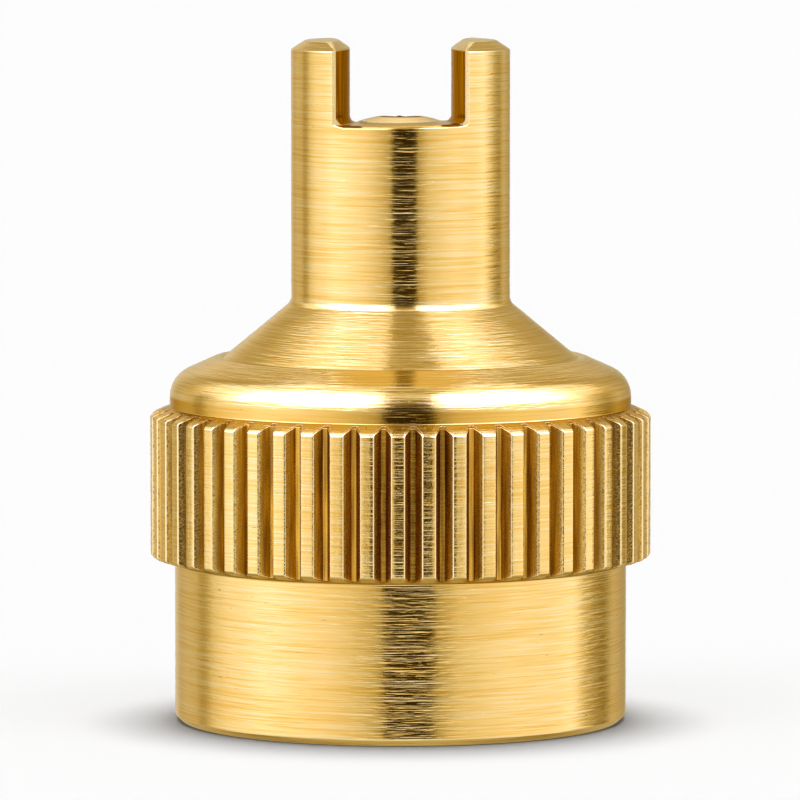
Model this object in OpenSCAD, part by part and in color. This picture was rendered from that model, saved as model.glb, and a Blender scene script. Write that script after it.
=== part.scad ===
// Tyre valve cap, turned from one bar of brass, with a sealing washer inside.
// The foot stands on z = 0 and the axis runs up through the two-pronged fork.
// The slot between the prongs runs front to back, along Y.

/* [Thread bore] */
// Diameter of the plain bore that stands for the valve thread
bore_d = 7.75; // [7:0.05:8.2]
// Height of the bore, from the foot to the washer's recess
bore_h = 5.3; // [4.4:0.1:5.6]
// How far the countersink at the mouth reaches out past the bore
mouth_flare = 0.32; // [0.1:0.02:0.4]
// Height of the countersink at the mouth
mouth_h = 0.4; // [0.2:0.05:0.8]

/* [Sealing washer] */
// Thickness of the rubber washer
washer_t = 1.2; // [0.8:0.1:1.5]
// Diameter of the hole in the washer
washer_hole_d = 3.2; // [2:0.1:4.5]
// Rounding of the washer's rims
washer_round = 0.18; // [0.05:0.01:0.3]
// How far the washer's recess undercuts the bore
recess_undercut = 0.2; // [0.1:0.05:0.3]
// Gap between the washer's rim and the wall of its recess
washer_play = 0.04; // [0.02:0.01:0.1]
// Room under the washer, down to the end of the thread
washer_room = 0.3; // [0.1:0.05:0.4]

/* [Skirt] */
// Wall between the bore and the outside of the skirt
skirt_wall = 1.09; // [0.9:0.05:1.6]
// Height of the plain skirt under the grip
skirt_h = 3.5; // [2:0.05:4.5]
// Width of the bevel round the foot
foot_bevel_w = 0.15; // [0.05:0.01:0.3]
// Height of the bevel round the foot
foot_bevel_h = 0.14; // [0.05:0.01:0.4]

/* [Knurled grip] */
// Step from the skirt out to the crests of the teeth
grip_step = 0.535; // [0.45:0.005:0.9]
// Height of the grip, from the skirt to the shoulder
grip_h = 3.43; // [2.5:0.01:5]
// Number of teeth round the grip
teeth = 52; // [36:2:60]
// Turn of the teeth about the axis, in degrees
teeth_turn = -0.55; // [-3.4:0.05:3.4]
// Depth of the grooves between the teeth
groove_depth = 0.26; // [0.12:0.01:0.3]
// Width of the flat at the bottom of each groove
groove_root_w = 0.1; // [0.04:0.01:0.16]
// Lean of each groove's sides, in degrees from the radius
groove_lean = 28; // [15:1:35]
// Slope of the cone under the teeth, in degrees from level
grip_cone_low = 15; // [12:1:35]
// Slope of the cone over the teeth, in degrees from level
grip_cone_high = 24; // [12:1:35]
// Small bevel at both ends of each crest
crest_bevel = 0.06; // [0.02:0.01:0.1]

/* [Shoulder] */
// Step from the crests in to the shoulder's wall
shoulder_step = 0.43; // [0.35:0.01:0.6]
// Height of the shoulder's upright wall
shoulder_wall_h = 0.21; // [0.05:0.01:0.6]
// Radius of the shoulder's rounded corner
shoulder_round = 0.66; // [0.4:0.01:0.8]
// Slope of the shoulder's roof, in degrees from level
roof_slope = 24; // [15:1:32]
// Distance from the corner's centre in to the middle of the roof's rim
roof_w = 0.38; // [0.25:0.01:0.7]
// Radius of the rim at the top of the roof
roof_rim_round = 0.22; // [0.12:0.01:0.3]

/* [Cone and neck] */
// Diameter of the neck
neck_d = 4.8; // [4:0.05:5.2]
// Height from the top of the grip to the joint of cone and neck
cone_h = 2.295; // [2.1:0.05:3]
// Slope of the cone, in degrees from level
cone_slope = 39.6; // [36:0.2:44]
// Radius of the hollow fillet between cone and neck
neck_fillet = 0.25; // [0.05:0.05:0.5]
// Height of the neck, from the cone to the floor of the slot
neck_h = 3.955; // [2.5:0.05:6]

/* [Fork] */
// Height of the prongs above the floor of the slot
prong_h = 1.78; // [1.2:0.02:2.6]
// Width of the slot at its waist, midway through the neck
slot_w = 2.22; // [1.8:0.02:2.4]
// Radius of the long bow of each wall, which opens the slot toward both ends
wall_bow = 6.04; // [5:0.02:12]
// Radius of the fillets along the floor of the slot
slot_fillet = 0.14; // [0.05:0.01:0.25]
// Width of the bevel on the four upright corners of the prongs
corner_bevel = 0.095; // [0.03:0.005:0.15]
// Width of the bevel round the outside of the tips
tip_bevel_w = 0.31; // [0.1:0.01:0.4]
// Height of the bevel round the outside of the tips
tip_bevel_h = 0.2; // [0.1:0.01:0.4]
// Width of the bevel on the tips' inner edges
tip_inner_w = 0.24; // [0.1:0.01:0.35]
// Height of the bevel on the tips' inner edges
tip_inner_h = 0.17; // [0.1:0.01:0.35]

/* [Boss and pin hole] */
// Diameter of the low domed boss in the middle of the slot's floor
boss_d = 1.84; // [1.4:0.02:1.9]
// Height of the whole dome, before the hole takes its top
boss_h = 0.15; // [0.08:0.01:0.25]
// Diameter of the blind hole down through the boss
pin_hole_d = 1; // [0.6:0.05:1.3]
// Depth of the hole's straight wall below the floor
pin_hole_h = 2.2; // [1:0.1:3]

/* [Hidden] */
$fn = 96;
over = 0.5;

// Radii, each built outward or inward from the one before
bore_r = bore_d / 2;
skirt_r = bore_r + skirt_wall;
grip_r = skirt_r + grip_step;
shoulder_r = grip_r - shoulder_step;
recess_r = bore_r + recess_undercut;
neck_r = neck_d / 2;
root_r = grip_r - groove_depth;

// Levels, each stacked on the one below
grip_top = skirt_h + grip_h;
washer_z = bore_h + washer_room;
roof_z = washer_z + washer_t;
neck_z = grip_top + cone_h;
floor_z = neck_z + neck_h;
tip_z = floor_z + prong_h;

// Rounded corner of the shoulder
corner_r = shoulder_r - shoulder_round;
corner_z = grip_top + shoulder_wall_h;
corner_end = [
    corner_r + shoulder_round * sin(roof_slope),
    corner_z + shoulder_round * cos(roof_slope)
];

// Rim where the roof turns down into the valley before the cone
rim_r = corner_r - roof_w;
rim_z = corner_end[1] + (corner_end[0] - rim_r) * tan(roof_slope) - roof_rim_round / cos(roof_slope);
rim_end = [
    rim_r + roof_rim_round * sin(roof_slope),
    rim_z + roof_rim_round * cos(roof_slope)
];

// Foot of the cone, a little below the valley
cone_foot_z = rim_z;
cone_foot_r = neck_r + (neck_z - cone_foot_z) / tan(cone_slope);
fillet_run = neck_fillet * tan((90 - cone_slope) / 2);

// Ends of the teeth
low_cone_r = grip_r - crest_bevel;
low_cone_z = skirt_h + (low_cone_r - skirt_r) * tan(grip_cone_low);
high_cone_r = grip_r - crest_bevel;
high_cone_z = grip_top - (high_cone_r - shoulder_r) * tan(grip_cone_high);

// Half-section of the body from the foot to the top of the neck, with the roof
// and the corner left square for the rounds that follow
module body_outline() {
    polygon([
        [0, 0],
        [skirt_r - foot_bevel_w, 0],
        [skirt_r, foot_bevel_h],
        [skirt_r, skirt_h],
        [low_cone_r, low_cone_z],
        [grip_r, low_cone_z + crest_bevel],
        [grip_r, high_cone_z - crest_bevel],
        [high_cone_r, high_cone_z],
        [shoulder_r, grip_top],
        [shoulder_r, corner_z],
        [corner_r, corner_z],
        corner_end,
        rim_end,
        [rim_r, rim_z],
        [0, rim_z]
    ]);
    translate([corner_r, corner_z])
        circle(r = shoulder_round);
    translate([rim_r, rim_z])
        circle(r = roof_rim_round);
}

// Half-section of the cone and the neck, up to the tips with their outer bevel
module neck_outline() {
    polygon([
        [0, cone_foot_z],
        [cone_foot_r, cone_foot_z],
        [neck_r, neck_z],
        [neck_r, tip_z - tip_bevel_h],
        [neck_r - tip_bevel_w, tip_z],
        [0, tip_z]
    ]);
    difference() {
        polygon([
            [neck_r - over / 10, neck_z - over / 10],
            [neck_r + fillet_run * cos(cone_slope), neck_z - fillet_run * sin(cone_slope)],
            [neck_r, neck_z + fillet_run]
        ]);
        translate([neck_r + neck_fillet, neck_z + fillet_run])
            circle(r = neck_fillet);
    }
}

// Solid of revolution, before anything is cut from it
module turned_blank() {
    rotate_extrude()
        body_outline();
    rotate_extrude()
        neck_outline();
}

// Everything the drill and the boring tool take out from below
module cavity() {
    translate([0, 0, -over])
        cylinder(r = bore_r, h = bore_h + 2 * over);
    rotate_extrude()
        polygon([
            [0, -over],
            [bore_r + mouth_flare * (1 + over / mouth_h), -over],
            [bore_r, mouth_h],
            [0, mouth_h]
        ]);
    translate([0, 0, bore_h])
        cylinder(r = recess_r, h = roof_z - bore_h);
}

// One groove of the straight knurl: flat root, leaning sides, open at both ends
module knurl_groove() {
    reach = grip_r + over;
    half_root = groove_root_w / 2;
    half_mouth = half_root + (reach - root_r) * tan(groove_lean);
    translate([0, 0, skirt_h - over])
        linear_extrude(height = grip_h + 2 * over)
            polygon([
                [root_r, -half_root],
                [reach, -half_mouth],
                [reach, half_mouth],
                [root_r, half_root]
            ]);
}

module knurl() {
    pitch = 360 / teeth;
    for (i = [0:teeth - 1])
        rotate([0, 0, -90 + teeth_turn + (i + 0.5) * pitch])
            knurl_groove();
}

// Each prong is what the neck shares with a round post whose axis stands out
// to the side. The corners are where the post comes out through the neck.
post_x = slot_w / 2 + wall_bow;
corner_x = (post_x * post_x + neck_r * neck_r - wall_bow * wall_bow) / (2 * post_x);
corner_y = sqrt(neck_r * neck_r - corner_x * corner_x);

// Half-section of a post: bevelled at the tip, hollow fillet at the foot
module post_outline() {
    difference() {
        polygon([
            [0, -over],
            [wall_bow + slot_fillet, -over],
            [wall_bow + slot_fillet, 0],
            [wall_bow, slot_fillet],
            [wall_bow, prong_h - tip_inner_h],
            [wall_bow - 2 * tip_inner_w, prong_h + tip_inner_h],
            [0, prong_h + tip_inner_h]
        ]);
        translate([wall_bow + slot_fillet, slot_fillet])
            circle(r = slot_fillet);
    }
}

// Everything the slot's cutter takes out between the two posts
module slot() {
    reach = neck_r + over;
    translate([0, 0, floor_z])
        difference() {
            translate([-reach, -reach, 0])
                cube([2 * reach, 2 * reach, prong_h + tip_inner_h / 2]);
            for (side = [-1, 1])
                translate([side * post_x, 0, 0])
                    rotate_extrude()
                        post_outline();
        }
}

// Bevel on the upright corner where the slot meets the round of the neck
module corner_cut() {
    outward = atan2(corner_y, corner_x);
    slotward = atan2(corner_y, corner_x - post_x);
    wedge = 180 - (slotward - outward);
    translate([corner_x, corner_y, floor_z])
        rotate([0, 0, (outward + slotward) / 2])
            translate([-corner_bevel / (2 * tan(wedge / 2)), -neck_r, 0])
                cube([neck_r, 2 * neck_r, prong_h + over]);
}

// Repeats a cut on the four quarters of the fork
module each_quarter() {
    for (side = [0, 1])
        for (end = [0, 1])
            mirror([side, 0, 0])
                mirror([0, end, 0])
                    children();
}

// Low domed boss, the part of a large ball that stands above the floor, on a
// stub that is sunk a little way into it
module boss() {
    ball_r = (boss_d * boss_d / 4 + boss_h * boss_h) / (2 * boss_h);
    rotate_extrude()
        intersection() {
            translate([0, floor_z - over])
                square([boss_d / 2, over + boss_h]);
            translate([0, floor_z + boss_h - ball_r])
                circle(r = ball_r);
        }
}

// Blind hole with the cone that the drill's point leaves
module pin_hole() {
    translate([0, 0, floor_z - pin_hole_h])
        cylinder(d = pin_hole_d, h = pin_hole_h + boss_h + over);
    translate([0, 0, floor_z - pin_hole_h - pin_hole_d / 2 * tan(31)])
        cylinder(r1 = 0, d2 = pin_hole_d, h = pin_hole_d / 2 * tan(31));
}

module cap_body() {
    color([0.83, 0.64, 0.27])
        difference() {
            union() {
                difference() {
                    turned_blank();
                    knurl();
                    slot();
                }
                boss();
            }
            each_quarter()
                corner_cut();
            cavity();
            pin_hole();
        }
}

// Half-section of the washer: a flat ring with rounded rims
module washer_outline() {
    inner = washer_hole_d / 2;
    outer = recess_r - washer_play;
    translate([inner + washer_round, washer_z])
        square([outer - inner - 2 * washer_round, washer_t]);
    translate([inner, washer_z + washer_round])
        square([outer - inner, washer_t - 2 * washer_round]);
    for (r = [inner + washer_round, outer - washer_round])
        for (z = [washer_z + washer_round, washer_z + washer_t - washer_round])
            translate([r, z])
                circle(r = washer_round);
}

module sealing_washer() {
    color([0.08, 0.08, 0.085])
        rotate_extrude()
            washer_outline();
}

cap_body();
sealing_washer();
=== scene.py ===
"""Looks of a turned brass tyre valve cap with a rubber sealing washer inside.

The cap stands on z = 0 with its axis on Z. The slot of its fork runs along Y.
Lengths in the classes are millimetres; meshes are metres.
"""

import logging
import math
from dataclasses import dataclass, field
from enum import Enum
from functools import cache
from typing import Optional, Sequence

import bpy
import numpy as np
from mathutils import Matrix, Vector


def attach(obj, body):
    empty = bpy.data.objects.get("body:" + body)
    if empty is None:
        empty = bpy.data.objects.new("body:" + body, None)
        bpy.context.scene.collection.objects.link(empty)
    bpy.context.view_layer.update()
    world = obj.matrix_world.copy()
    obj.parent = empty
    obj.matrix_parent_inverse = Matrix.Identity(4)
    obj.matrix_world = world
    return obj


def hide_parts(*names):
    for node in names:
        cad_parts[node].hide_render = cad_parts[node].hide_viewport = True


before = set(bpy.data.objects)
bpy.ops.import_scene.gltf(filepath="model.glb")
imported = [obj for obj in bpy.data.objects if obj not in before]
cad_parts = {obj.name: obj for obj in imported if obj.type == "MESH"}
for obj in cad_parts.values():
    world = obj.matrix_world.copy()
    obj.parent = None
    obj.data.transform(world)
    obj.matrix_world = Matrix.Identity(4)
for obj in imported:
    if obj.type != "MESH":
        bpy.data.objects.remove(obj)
log = logging.getLogger("valve_cap")

MM = 0.001
FULL_TURN = 2 * math.pi
Socket = bpy.types.NodeSocket


class Slot(Enum):
    """Names of the material slots."""

    BRASS = "brass"
    RUBBER = "rubber"


class Piece(Enum):
    """Names of the pieces that this scene makes."""

    CAP = "turned_cap"
    THREAD = "inside_thread"


class Mark(Enum):
    """Values that a mesh carries for its finish, each from 0 to 1."""

    EDGE = "edge"
    # Lies on a rounded edge, where the brass paints a highlight.
    """Lies on a rounded edge."""
    TOOTH = "tooth"
    """Place across a tooth of the knurl, from its middle to the groove's."""
    RECESS = "recess"
    # Lies in a groove, on a wall of the slot or inside the cap, where the brass paints shade.
    """Lies in a groove, on a wall of the slot or inside the cap."""


EDGE, TOOTH, RECESS = range(len(Mark))


# ---------------------------------------------------------------------------
# Meshes from grids
# ---------------------------------------------------------------------------


def tan(degrees: float) -> float:
    """Tangent of an angle in degrees."""
    return math.tan(math.radians(degrees))


def polar(reach: np.ndarray, turn: np.ndarray, height: np.ndarray) -> np.ndarray:
    """Places (r cos a, r sin a, z) from a radius, an angle and a height."""
    return np.stack(
        np.broadcast_arrays(reach * np.cos(turn), reach * np.sin(turn), height), axis=-1
    )


def make_piece(
    name: str,
    points: np.ndarray,
    faces: list,
    marks: Optional[np.ndarray] = None,
) -> bpy.types.Object:
    """Makes an object at the origin from points and faces.

    Args:
        name: The object's name.
        points: Corner places in millimetres, shape (n, 3).
        faces: Lists of corner numbers, anticlockwise seen from outside.
        marks: Values for the finish at each corner, one column for each Mark.

    Returns:
        The new object, linked to the scene.
    """
    mesh = bpy.data.meshes.new(name)
    mesh.from_pydata((points * MM).tolist(), [], faces)
    if marks is not None:
        for mark, values in zip(Mark, marks.T):
            layer = mesh.attributes.new(mark.value, "FLOAT", "POINT")
            layer.data.foreach_set("value", np.ascontiguousarray(values, dtype=np.float32))
    mesh.update()
    piece = bpy.data.objects.new(name, mesh)
    bpy.context.scene.collection.objects.link(piece)
    return piece


def grid_faces(index: np.ndarray, closed: bool = False) -> np.ndarray:
    """Four-cornered faces of a grid of corner numbers.

    Face (i, j) is (i, j), (i, j+1), (i+1, j+1), (i+1, j).

    Args:
        index: Corner numbers, shape (rows, columns).
        closed: True if the last column meets the first.

    Returns:
        Corner numbers, shape (faces, 4).
    """
    if closed:
        index = np.concatenate([index, index[:, :1]], axis=1)
    return np.stack(
        [index[:-1, :-1], index[:-1, 1:], index[1:, 1:], index[1:, :-1]], axis=-1
    ).reshape(-1, 4)


def eased(corners: Sequence[np.ndarray], cuts: Sequence[float]) -> tuple:
    """Rounds the corners of many paths at once.

    A corner P with neighbours A and B becomes three points of the curve
    (1-t)^2 P0 + 2t(1-t) P + t^2 P1 at t = 0, 0.5 and 1, where P0 and P1 lie on
    the sides PA and PB at the cut's distance, or at 0.45 of a shorter side.

    Args:
        corners: One array (paths, axes) for each corner.
        cuts: The distance for each corner; 0 leaves it as it is, and a
            negative one rounds a hollow corner, which doesn't count as an edge.

    Returns:
        Rows of points, shape (rows, paths, axes), and each row's edge value.
    """
    rows, edge = [], []
    for k, cut in enumerate(cuts):
        here = corners[k]
        if cut == 0 or k in (0, len(cuts) - 1):
            rows.append(here)
            edge.append(0.0)
            continue
        ends = []
        for other in (corners[k - 1], corners[k + 1]):
            away = other - here
            length = np.linalg.norm(away, axis=-1, keepdims=True)
            share = np.minimum(abs(cut) / np.maximum(length, 1e-9), 0.45)
            ends.append(here + away * share)
        middle = (ends[0] + ends[1] + 2 * here) / 4
        rows += [ends[0], middle, ends[1]]
        edge += [0.0, 1.0 if cut > 0 else 0.0, 0.0]
    return np.stack(rows), np.array(edge)


@dataclass
class Skin:
    """Grids of points under one numbering, and the faces between them.

    The odd faces are those that don't have four corners.
    """

    places: list = field(default_factory=list)
    marks: list = field(default_factory=list)
    faces: list = field(default_factory=list)
    odd: list = field(default_factory=list)
    count: int = 0

    def keep(self, places: np.ndarray, values: np.ndarray) -> np.ndarray:
        """Adds a grid of points with its marks and returns their numbers."""
        first, self.count = self.count, self.count + places[..., 0].size
        self.places.append(places.reshape(-1, 3))
        self.marks.append(np.broadcast_to(values, places.shape).reshape(-1, 3))
        return np.arange(first, self.count).reshape(places.shape[:2])

    def fan(self, height: float, ring: np.ndarray) -> None:
        """Closes a ring, anticlockwise seen from its open side, at the axis."""
        pole = self.keep(np.array([[[0.0, 0.0, height]]]), np.array([0.0, 0.0, 1.0]))
        ends = np.column_stack([ring, np.roll(ring, -1), np.full(ring.size, pole[0, 0])])
        self.odd += ends.tolist()

    def make(self, name: str) -> bpy.types.Object:
        """Makes the object of the points and faces kept so far."""
        faces = np.concatenate(self.faces).tolist() + self.odd
        return make_piece(name, np.concatenate(self.places), faces, np.concatenate(self.marks))


def read_all(items: object, name: str, width: int = 1, kind: type = float) -> np.ndarray:
    """Reads one property of every item of a mesh collection.

    Args:
        items: The collection, such as a mesh's vertices.
        name: The property.
        width: How many numbers it has.
        kind: The numbers' type.

    Returns:
        The values, shape (items,) or (items, width).
    """
    values = np.zeros(len(items) * width, kind)
    items.foreach_get(name, values)
    return values.reshape(-1, width) if width > 1 else values


def smooth_by_area(piece: bpy.types.Object, sharp: float = 50.0) -> None:
    """Smooth shading that keeps large faces true beside small rounded edges.

    A face that was turned about Z lends each of its corners its normal, turned
    to the corner's own azimuth. A corner's normal is the sum, over the faces
    that meet there and lean from its own face by less than the sharp angle, of
    their normals times their areas squared.

    Args:
        piece: The object.
        sharp: Edges that turn by more degrees than this stay sharp.
    """
    most_sideways = 0.04
    mesh = piece.data
    point = read_all(mesh.loops, "vertex_index", kind=int)
    sides = read_all(mesh.polygons, "loop_total", kind=int)
    face = np.repeat(np.arange(sides.size), sides)
    area = read_all(mesh.polygons, "area")[face] / MM**2
    middle = read_all(mesh.polygons, "center", 3)[face]
    own = read_all(mesh.polygons, "normal", 3)[face]
    place = read_all(mesh.vertices, "co", 3)[point]

    turn = np.arctan2(middle[:, 1], middle[:, 0])
    sideways = abs(own[:, 1] * np.cos(turn) - own[:, 0] * np.sin(turn))
    turned = (sideways < most_sideways) & (np.hypot(place[:, 0], place[:, 1]) > 1e-6)
    turn = np.where(turned, np.arctan2(place[:, 1], place[:, 0]) - turn, 0.0)
    co, si = np.cos(turn), np.sin(turn)
    x, y, z = own.T
    own = np.column_stack([x * co - y * si, x * si + y * co, z])

    # every pair of corners that share a point
    order = np.argsort(point, kind="stable")
    meeting = np.bincount(point)
    first = np.cumsum(meeting) - meeting
    repeats = meeting[point[order]]
    left = np.repeat(np.arange(point.size), repeats)
    step = np.arange(left.size) - np.repeat(np.cumsum(repeats) - repeats, repeats)
    right = order[first[point[order]][left] + step]
    left = order[left]
    close = np.einsum("ij,ij->i", own[left], own[right]) > math.cos(math.radians(sharp))
    weight = np.where(close, area[right] ** 2, 0.0)
    summed = np.column_stack(
        [np.bincount(left, weight * own[right, axis], point.size) for axis in range(3)]
    )
    summed /= np.linalg.norm(summed, axis=1, keepdims=True)
    mesh.polygons.foreach_set("use_smooth", [True] * len(mesh.polygons))
    mesh.normals_split_custom_set(summed.tolist())


# ---------------------------------------------------------------------------
# The cap
# ---------------------------------------------------------------------------


@dataclass
class CapSizes:
    """Sizes of the turned cap, the same as the solid's."""

    bore_r: float = 3.875
    bore_h: float = 5.3
    mouth_flare: float = 0.32
    mouth_h: float = 0.4
    recess_r: float = 4.075
    roof_z: float = 6.8
    skirt_r: float = 4.965
    skirt_h: float = 3.5
    foot_bevel_w: float = 0.15
    foot_bevel_h: float = 0.14
    grip_r: float = 5.5
    grip_top: float = 6.93
    teeth: int = 52
    teeth_turn: float = -0.55
    groove_depth: float = 0.26
    groove_root_w: float = 0.1
    groove_lean: float = 28.0
    cone_low: float = 15.0
    cone_high: float = 24.0
    crest_bevel: float = 0.06
    shoulder_r: float = 5.07
    shoulder_wall_h: float = 0.21
    shoulder_round: float = 0.66
    roof_slope: float = 24.0
    roof_w: float = 0.38
    rim_round: float = 0.22
    neck_r: float = 2.4
    neck_z: float = 9.225
    cone_slope: float = 39.6
    neck_fillet: float = 0.25
    floor_z: float = 13.18
    tip_z: float = 14.96
    slot_half: float = 1.11
    wall_bow: float = 6.04
    corner_x: float = 1.4266
    corner_y: float = 1.93
    corner_cut: float = 0.0807
    slot_fillet: float = 0.14
    tip_bevel_w: float = 0.31
    tip_bevel_h: float = 0.2
    tip_inner_w: float = 0.24
    tip_inner_h: float = 0.17
    boss_r: float = 0.92
    boss_h: float = 0.15
    hole_r: float = 0.5
    hole_h: float = 2.2
    drill_slope: float = 31.0
    rim_bevel: float = 0.055
    floor_fall: float = 3.8
    floor_tilt: float = 0.8

    # how far the visual mesh eases corners that the solid leaves sharp
    ease: float = 0.03
    fine_ease: float = 0.02
    foot_ease: float = 0.04
    crest_ease: float = 0.028
    tip_ease: float = 0.025
    # how much of the corner's cut, and of the fillet's draw, runs along Y
    cut_along: float = 0.948
    draw_along: float = 0.024


@dataclass
class Prong:
    """One prong's grid and where it stands on the neck.

    Rows go up its outside, over its tip and down its inside; rise is how many
    of them lead up to the tip on either side.
    """

    columns: np.ndarray
    turn: np.ndarray
    places: np.ndarray
    marks: np.ndarray
    rise: int


@dataclass
class TurnedCap:
    """The brass body: skirt, knurled grip, shoulder, cone, neck and fork.

    One closed skin. Its columns run round the axis, eleven to a tooth, and its
    rows run from the middle of the inside roof down the bore, round the foot,
    up the outside, over the prongs and down into the pin hole.
    """

    size: CapSizes = field(default_factory=CapSizes)

    # rows of the inside, the domed shoulder, the roof's rim and the neck's fillet
    hidden_rows: int = 13
    dome_rows: int = 13
    rim_rows: int = 8
    fillet_rows: int = 6
    # degrees round the fillet at the foot of the slot's walls
    bends: tuple = (18, 36, 54, 72)
    # the mark's value on the shoulder's wall, the slot's floor and the neck's rim, which sets how
    # much painted shade each gets
    wall_recess: float = 0.6
    floor_recess: float = 0.45
    rim_recess: float = 0.4
    # the mark's value at the fork's corners and round the hole's mouth, which sets their painted
    # highlight
    corner_edge: float = 0.8
    hole_edge: float = 0.7

    def tooth_columns(self) -> tuple:
        """Angles of the columns and the grip's radius at each.

        Over one tooth the radius is the crest's up to the crest's edge, falls
        in a straight line to the root, and stays there to the half pitch.

        Returns:
            Angles in radians from +X, rising, radii in millimetres, and the
            place across the tooth, 0 at its middle and 1 at the groove's.
        """
        s = self.size
        pitch = 360 / s.teeth
        root_r = s.grip_r - s.groove_depth
        mouth = s.groove_root_w + 2 * s.groove_depth * tan(s.groove_lean)
        crest = pitch / 2 - math.degrees(mouth / 2 / s.grip_r)
        root = pitch / 2 - math.degrees(s.groove_root_w / 2 / root_r)
        ease = 0.15
        half = np.array([crest - ease, crest + ease, (crest + root) / 2, root])
        offsets = np.concatenate(
            [-half[1::-1], [-0.5, 0.5], half, [pitch / 2], pitch - half[:1:-1]]
        )
        away = np.minimum(abs(offsets), pitch - abs(offsets))
        radii = np.interp(
            away,
            [0, crest - ease, crest + ease, root, pitch / 2],
            [s.grip_r, s.grip_r, s.grip_r - s.crest_ease, root_r, root_r],
        )
        tooth = np.arange(s.teeth)[:, None] * pitch
        angles = (tooth + offsets[None, :] - 90 + s.teeth_turn).ravel()
        return np.radians(angles), np.tile(radii, s.teeth), np.tile(away * 2 / pitch, s.teeth)

    def lower_rows(self, grip: np.ndarray) -> tuple:
        """Rows from the middle of the inside roof up to the foot of the neck.

        Args:
            grip: The grip's radius at each column.

        Returns:
            Radius and height, shape (rows, columns, 2), and the edge values.
        """
        s = self.size
        cone_r = np.minimum(grip, s.grip_r - s.crest_bevel)
        proud = np.clip((grip - cone_r) / s.crest_bevel, 0, 1)
        low_z = s.skirt_h + (cone_r - s.skirt_r) * tan(s.cone_low)
        high_z = s.grip_top - (cone_r - s.shoulder_r) * tan(s.cone_high)
        bevel = 0.02 + 0.04 * proud

        def turned(r: float, z: float) -> np.ndarray:
            """One point of the profile, the same at every column."""
            return np.tile([float(r), float(z)], (grip.size, 1))

        def arc(r: float, z: float, radius: float, turns: np.ndarray) -> list:
            """Corners left as they are, on a round about (r, z)."""
            return [
                (0, turned(r + radius * math.cos(turn), z + radius * math.sin(turn)))
                for turn in turns
            ]

        corner_r = s.shoulder_r - s.shoulder_round
        corner_z = s.grip_top + s.shoulder_wall_h
        rim_r = corner_r - s.roof_w
        lean = math.radians(s.roof_slope)
        end_r = corner_r + s.shoulder_round * math.sin(lean)
        end_z = corner_z + s.shoulder_round * math.cos(lean)
        rim_z = end_z + (end_r - rim_r) * math.tan(lean) - s.rim_round / math.cos(lean)
        slope = math.radians(s.cone_slope)
        foot_r = s.neck_r + (s.neck_z - rim_z) / math.tan(slope)
        apart = (foot_r - rim_r) * math.sin(slope)
        chord = math.sqrt(s.rim_round**2 - apart**2)
        valley_r = rim_r + apart * math.sin(slope) - chord * math.cos(slope)
        valley_z = rim_z + apart * math.cos(slope) + chord * math.sin(slope)
        last = math.atan2(valley_z - rim_z, valley_r - rim_r)
        run = s.neck_fillet * math.tan((math.pi / 2 - slope) / 2)

        # each corner with the distance that it is eased by
        table = [
            (0, turned(1.2, s.roof_z)),
            (-s.ease, turned(s.recess_r, s.roof_z)),
            (-s.ease, turned(s.recess_r, s.bore_h)),
            (s.ease, turned(s.bore_r, s.bore_h)),
            (s.ease, turned(s.bore_r, s.mouth_h)),
            (s.ease, turned(s.bore_r + s.mouth_flare, 0)),
            (s.foot_ease, turned(s.skirt_r - s.foot_bevel_w, 0)),
            (s.ease, turned(s.skirt_r, s.foot_bevel_h)),
            (-s.ease, turned(s.skirt_r, s.skirt_h)),
            (s.fine_ease, np.stack([cone_r, low_z], axis=-1)),
            (s.fine_ease, np.stack([grip, low_z + bevel], axis=-1)),
            (s.fine_ease, np.stack([grip, high_z - bevel], axis=-1)),
            (s.fine_ease, np.stack([cone_r, high_z], axis=-1)),
            (-s.fine_ease, turned(s.shoulder_r, s.grip_top)),
        ]
        meet = math.pi / 2 - lean
        table += arc(corner_r, corner_z, s.shoulder_round, np.linspace(0, meet, self.dome_rows))
        table += arc(rim_r, rim_z, s.rim_round, np.linspace(meet, last, self.rim_rows))
        table[-1] = (-s.ease, table[-1][1])
        hollow = math.pi - np.linspace(slope - math.pi / 2, 0, self.fillet_rows)
        table += arc(s.neck_r + s.neck_fillet, s.neck_z + run, s.neck_fillet, hollow)
        cuts, corners = zip(*table)
        return eased(corners, cuts)

    def sector_columns(self, angles: np.ndarray) -> tuple:
        """Columns shared out evenly between the fork's four corners.

        Args:
            angles: The angles of the columns below the neck.

        Returns:
            Angles at the neck, and the column at each corner, anticlockwise
            from the front right one.
        """
        s = self.size
        corner = math.atan2(s.corner_y, s.corner_x) - s.corner_cut / s.neck_r
        turns = np.array([-corner, corner, math.pi - corner, math.pi + corner])
        turns = np.where(turns < angles[0], turns + FULL_TURN, turns)
        at = np.array([int(np.argmin(abs(angles - turn))) for turn in turns])
        order = np.argsort(at)
        known, value = at[order], turns[order]
        known = np.concatenate([[known[-1] - angles.size], known, [known[0] + angles.size]])
        value = np.concatenate([[value[-1] - FULL_TURN], value, [value[0] + FULL_TURN]])
        return np.interp(np.arange(angles.size), known, value), at

    def wall_x(self, y: np.ndarray) -> np.ndarray:
        """Distance of the slot's wall from the middle.

        The wall is round a post's axis at the waist plus the bow's radius, so
        it is waist + bow - sqrt(bow squared - y squared).
        """
        s = self.size
        return s.slot_half + s.wall_bow - np.sqrt(s.wall_bow**2 - y**2)

    def wall_y(self, turn: np.ndarray) -> np.ndarray:
        """Places along the slot's wall, in step with the outside's sin a."""
        s = self.size
        end = s.corner_y - s.cut_along * s.corner_cut
        return end * np.sin(turn) / math.sin(abs(turn).max())

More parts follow.
